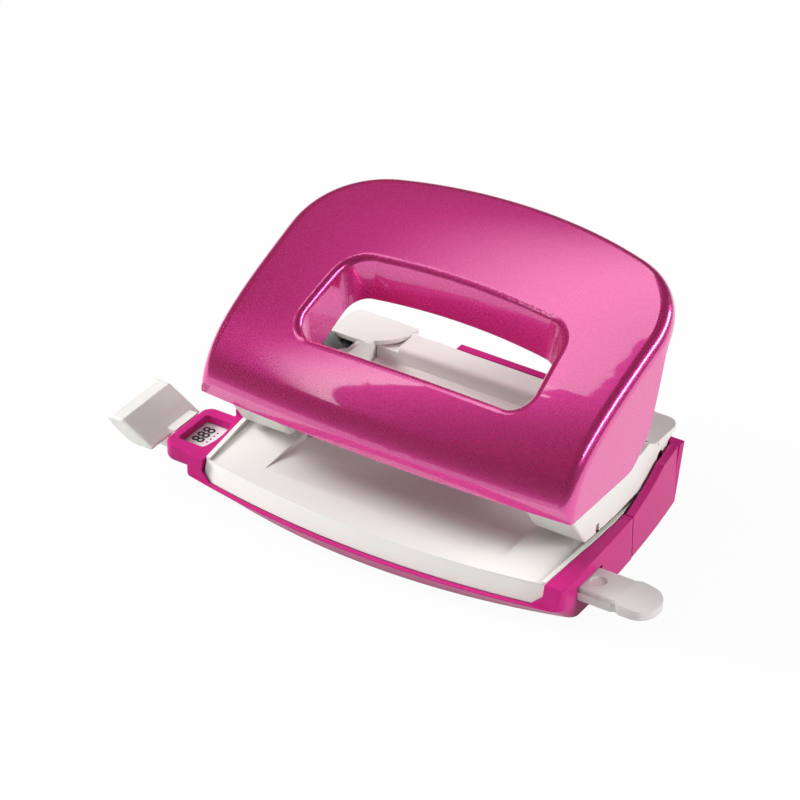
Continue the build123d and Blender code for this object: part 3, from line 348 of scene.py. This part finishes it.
def joinAll(pieces, name):
    pick(pieces[0])
    for piece in pieces[1:]:
        piece.select_set(True)
    bpy.ops.object.join()
    joined = bpy.context.object
    joined.name = name
    joined.data.name = name
    return joined


def outward(piece):
    pick(piece)
    bpy.ops.object.mode_set(mode="EDIT")
    bpy.ops.mesh.select_all(action="SELECT")
    bpy.ops.mesh.remove_doubles(threshold=weldGap)
    bpy.ops.mesh.normals_make_consistent(inside=False)
    bpy.ops.object.mode_set(mode="OBJECT")


def dress(piece, finish, body):
    piece.data.materials.clear()
    piece.data.materials.append(finishes[finish])
    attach(piece, body)


# return springs: closed end coils with an open winding between
returnSpring = {
    "wire": 0.86 * mm, "turns": 4, "endTurns": 1, "endPitch": 1.05,  # pitch in wires
    "steps": 40, "sides": 14, "weld": 0.02 * mm, "smoothAngle": 40,
}


def makeReturnSpring(side):
    low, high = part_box(side + "_return_spring")
    middle = (low + high) / 2
    wire = returnSpring["wire"]
    endTurns = returnSpring["endTurns"]
    coilRadius = (high.x - low.x - wire) / 2
    footZ = low.z + wire / 2
    topZ = high.z - wire / 2
    rise = wire * returnSpring["endPitch"] * endTurns
    windings = []
    for startZ, turns, climb in (
        (footZ, endTurns, rise),
        (footZ + rise, returnSpring["turns"], topZ - footZ - 2 * rise),
        (topZ - rise, endTurns, rise),
    ):
        startFresh()
        bpy.ops.mesh.primitive_circle_add(
            vertices=returnSpring["sides"], radius=wire / 2, location=(coilRadius, 0, startZ),
            rotation=(math.pi / 2, 0, 0),
        )
        winding = bpy.context.object
        setPlace(winding)
        bpy.ops.object.modifier_add(type="SCREW")
        screw = winding.modifiers[-1]
        screw.axis = "Z"
        screw.iterations = turns
        screw.screw_offset = climb / turns
        screw.steps = returnSpring["steps"]
        screw.render_steps = returnSpring["steps"]
        bpy.ops.object.modifier_apply(modifier=screw.name)
        windings.append(winding)
    spring = joinAll(windings, side + "_spring_coil")
    bpy.ops.object.mode_set(mode="EDIT")
    bpy.ops.mesh.select_all(action="SELECT")
    bpy.ops.mesh.remove_doubles(threshold=returnSpring["weld"])
    bpy.ops.mesh.select_all(action="DESELECT")
    bpy.ops.mesh.select_mode(type="EDGE")
    bpy.ops.mesh.select_non_manifold()
    bpy.ops.mesh.fill_holes(sides=returnSpring["sides"])  # the wire's cut ends
    bpy.ops.object.mode_set(mode="OBJECT")
    spring.location = (middle.x, middle.y, 0)
    setPlace(spring)
    outward(spring)
    pick(spring)
    bpy.ops.object.shade_smooth_by_angle(angle=math.radians(returnSpring["smoothAngle"]))
    dress(spring, "spring_steel", "base")
    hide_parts(side + "_return_spring")
    joint = next(j for j in frame["joints"] if j["name"] == side + "_pin_slide")
    travel = max(joint["range_m"])
    length = high.z - low.z
    (length - travel) / length
    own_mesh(spring)


for side in ("left", "right"):
    makeReturnSpring(side)
print("springs wound")


# print on the guide's label: a mark for each setting, and a row of dots
labelPrint = {
    "marks": (("888", 0.0), ("A6", 5.5 * mm), ("A5", 36.5 * mm), ("A4", 80.0 * mm)),
    "markX": -56.1 * mm, "height": 3.2 * mm, "capShare": 0.70,  # of the font's size
    "bold": 0.08 * mm, "rise": 0.03 * mm,
    "dotX": -53.7 * mm, "dotRadius": 0.26 * mm, "dotPitch": 1.5 * mm, "dots": 4, "dotSides": 16,
}


def makeLabelPrint():
    low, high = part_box("format_label")
    middleY = (low.y + high.y) / 2
    rise = labelPrint["rise"]
    prints = []
    for words, step in labelPrint["marks"]:
        startFresh()
        bpy.ops.object.text_add(location=(0, 0, 0))
        text = bpy.context.object
        text.data.body = words
        text.data.size = labelPrint["height"] / labelPrint["capShare"]
        text.data.align_x = "CENTER"
        text.data.align_y = "CENTER"
        text.data.offset = labelPrint["bold"]
        text.data.extrude = rise / 2
        pick(text)
        bpy.ops.object.convert(target="MESH")
        text = bpy.context.object
        text.rotation_euler = (0, 0, math.pi / 2)
        text.location = (labelPrint["markX"] + step, middleY, high.z + rise / 2)
        setPlace(text)
        prints.append(text)
    rowStart = middleY - (labelPrint["dots"] - 1) / 2 * labelPrint["dotPitch"]
    for index in range(labelPrint["dots"]):
        startFresh()
        bpy.ops.mesh.primitive_circle_add(
            vertices=labelPrint["dotSides"], radius=labelPrint["dotRadius"], fill_type="NGON",
            location=(labelPrint["dotX"], rowStart + index * labelPrint["dotPitch"], high.z),
        )
        dot = bpy.context.object
        setPlace(dot)
        bpy.ops.object.mode_set(mode="EDIT")
        bpy.ops.mesh.select_all(action="SELECT")
        bpy.ops.mesh.extrude_region_move(TRANSFORM_OT_translate={"value": (0, 0, rise)})
        bpy.ops.object.mode_set(mode="OBJECT")
        prints.append(dot)
    joined = joinAll(prints, "label_print")
    outward(joined)
    dress(joined, "print_ink", "guide")


makeLabelPrint()
print("label printed")


# floor: shows almost white, and keeps the part's shadow
studioFloor = {
    "size": 9.0, "gap": 0.1 * mm, "show": 0.96, "speckleScale": 18,
    "white": (0.58, 0.58, 0.58), "pale": (0.62, 0.62, 0.62),
}
plainWhite = (1, 1, 1, 1)


def makeFloor():
    look = studioFloor
    startFresh()
    bpy.ops.mesh.primitive_plane_add(size=look["size"], location=(0, 0, -look["gap"]))
    floor = bpy.context.object
    floor.name = "floor"
    f = Finish("studio_floor")
    speckle = f.noise(look["speckleScale"])
    paper = f.node(
        "ShaderNodeBsdfDiffuse", {}, {"Color": f.blend(speckle, look["white"], look["pale"])}
    )
    glow = f.node("ShaderNodeEmission", {}, {"Color": plainWhite, "Strength": 1.0})
    direct = f.node("ShaderNodeLightPath", output="Is Camera Ray")
    glossy = f.node("ShaderNodeLightPath", output="Is Glossy Ray")
    through = f.node("ShaderNodeLightPath", output="Is Transmission Ray")
    anyRay = direct + glossy + through
    seen = f.node("ShaderNodeMath", {"operation": "MINIMUM"}, {0: anyRay, 1: 1.0})
    sheet = f.node("ShaderNodeMixShader", {}, {0: seen * look["show"], 1: paper, 2: glow})
    f.node("ShaderNodeOutputMaterial", {}, {"Surface": sheet})
    floor.data.materials.append(f.material)


# world: a dim grey sky, darker overhead
studioSky = {"horizon": 0.14, "zenith": 0.06, "zenithFrom": 0.55}


def makeSky():
    look = studioSky
    world = bpy.data.worlds.new("studio")
    bpy.context.scene.world = world
    world.use_nodes = True
    f = Finish(tree=world.node_tree)
    direction = f.node("ShaderNodeTexCoord", output="Generated")
    height = f.node("ShaderNodeSeparateXYZ", {}, {"Vector": direction}, output="Z")
    level = f.node("ShaderNodeMapRange", {"interpolation_type": "SMOOTHSTEP"}, {
        "Value": height, "From Min": 0.0, "From Max": look["zenithFrom"],
        "To Min": look["horizon"], "To Max": look["zenith"],
    })
    sky = f.node("ShaderNodeBackground", {}, {"Color": plainWhite, "Strength": level})
    f.node("ShaderNodeOutputWorld", {}, {"Surface": sky})


# lamps: the strips show in the gloss and may fade across, the others only light
softLamp = {"to": (0, 0, 0.03), "turn": 0, "gloss": False, "spread": True, "fade": None}
lamps = {
    "strip_rear": {
        "at": (-0.355, 0.45, 0.75), "to": (-0.355, 0.45, 0), "size": (0.22, 0.80), "power": 1.06,
        "gloss": True, "spread": False, "fade": (0.05, 0.75),
    },
    "strip_front": {
        "at": (-0.622, -0.556, 0.75), "to": (-0.622, -0.556, 0), "size": (0.18, 1.4), "power": 2.5,
        "turn": -23.4, "gloss": True, "fade": (0.3, 1.0),
    },
    "strip_right": {
        "at": (0.56, 0.30, 0.50), "size": (0.12, 1.2), "power": 4.5,
        "gloss": True, "spread": False,
    },
    "key": {"at": (-1.00, -0.20, 0.60), "size": (0.4, 0.4), "power": 17.5},
    "top": {"at": (-0.35, -0.60, 1.05), "size": (0.9, 0.9), "power": 3.8},
    "front": {"at": (0.10, -1.30, 0.35), "to": (0, 0, 0.02), "size": (0.4, 0.3), "power": 3.2},
    "right": {"at": (0.90, 0.20, 0.40), "size": (0.4, 0.4), "power": 8.6},
    "rear": {"at": (-0.65, 0.60, 0.85), "size": (0.5, 0.5), "power": 1.9},
}


def makeLamp(name):
    lamp = {**softLamp, **lamps[name]}
    data = bpy.data.lights.new(name, "AREA")
    data.shape = "RECTANGLE"
    data.size, data.size_y = lamp["size"]
    data.energy = lamp["power"]
    lightObject = bpy.data.objects.new(name, data)
    bpy.context.scene.collection.objects.link(lightObject)
    away = (Vector(lamp["at"]) - Vector(lamp["to"])).normalized()
    across = Vector((0, 1, 0)).cross(away).normalized()
    along = away.cross(across)
    turned = Matrix.Rotation(math.radians(lamp["turn"]), 4, "Z")
    basis = Matrix((across, along, away)).transposed().to_4x4() @ turned
    lightObject.matrix_world = Matrix.Translation(lamp["at"]) @ basis
    lightObject.visible_glossy = lamp["gloss"]
    lightObject.visible_diffuse = lamp["spread"]
    if lamp["fade"]:
        dark, bright = lamp["fade"]
        data.use_nodes = True
        f = Finish(tree=data.node_tree)
        spot = f.node("ShaderNodeNewGeometry", output="Parametric")
        width = f.node("ShaderNodeSeparateXYZ", {}, {"Vector": spot}, output="X")
        level = f.node(
            "ShaderNodeMapRange", {"interpolation_type": "SMOOTHSTEP"},
            {"Value": width, "From Min": dark, "From Max": bright},
        )
        beam = f.node("ShaderNodeEmission", {}, {"Color": plainWhite, "Strength": level})
        f.node("ShaderNodeOutputLight", {}, {"Surface": beam})


# camera: its place and the three directions of its view
view = {
    "at": (0.4941, -0.7710, 0.6223), "lens": 207.7, "right": (0.8360, 0.5487, 0.0),
    "up": (-0.2990, 0.4555, 0.8385), "back": (0.4601, -0.7010, 0.5449),
}


def makeCamera():
    cameraData = bpy.data.cameras.new("camera")
    cameraData.lens = view["lens"]
    camera = bpy.data.objects.new("camera", cameraData)
    bpy.context.scene.collection.objects.link(camera)
    turn = Matrix((view["right"], view["up"], view["back"])).transposed().to_4x4()
    camera.matrix_world = Matrix.Translation(view["at"]) @ turn
    bpy.context.scene.camera = camera
    bpy.context.scene.view_settings.view_transform = "Standard"


makeFloor()
makeSky()
for lampName in lamps:
    makeLamp(lampName)
makeCamera()
print("stage set")
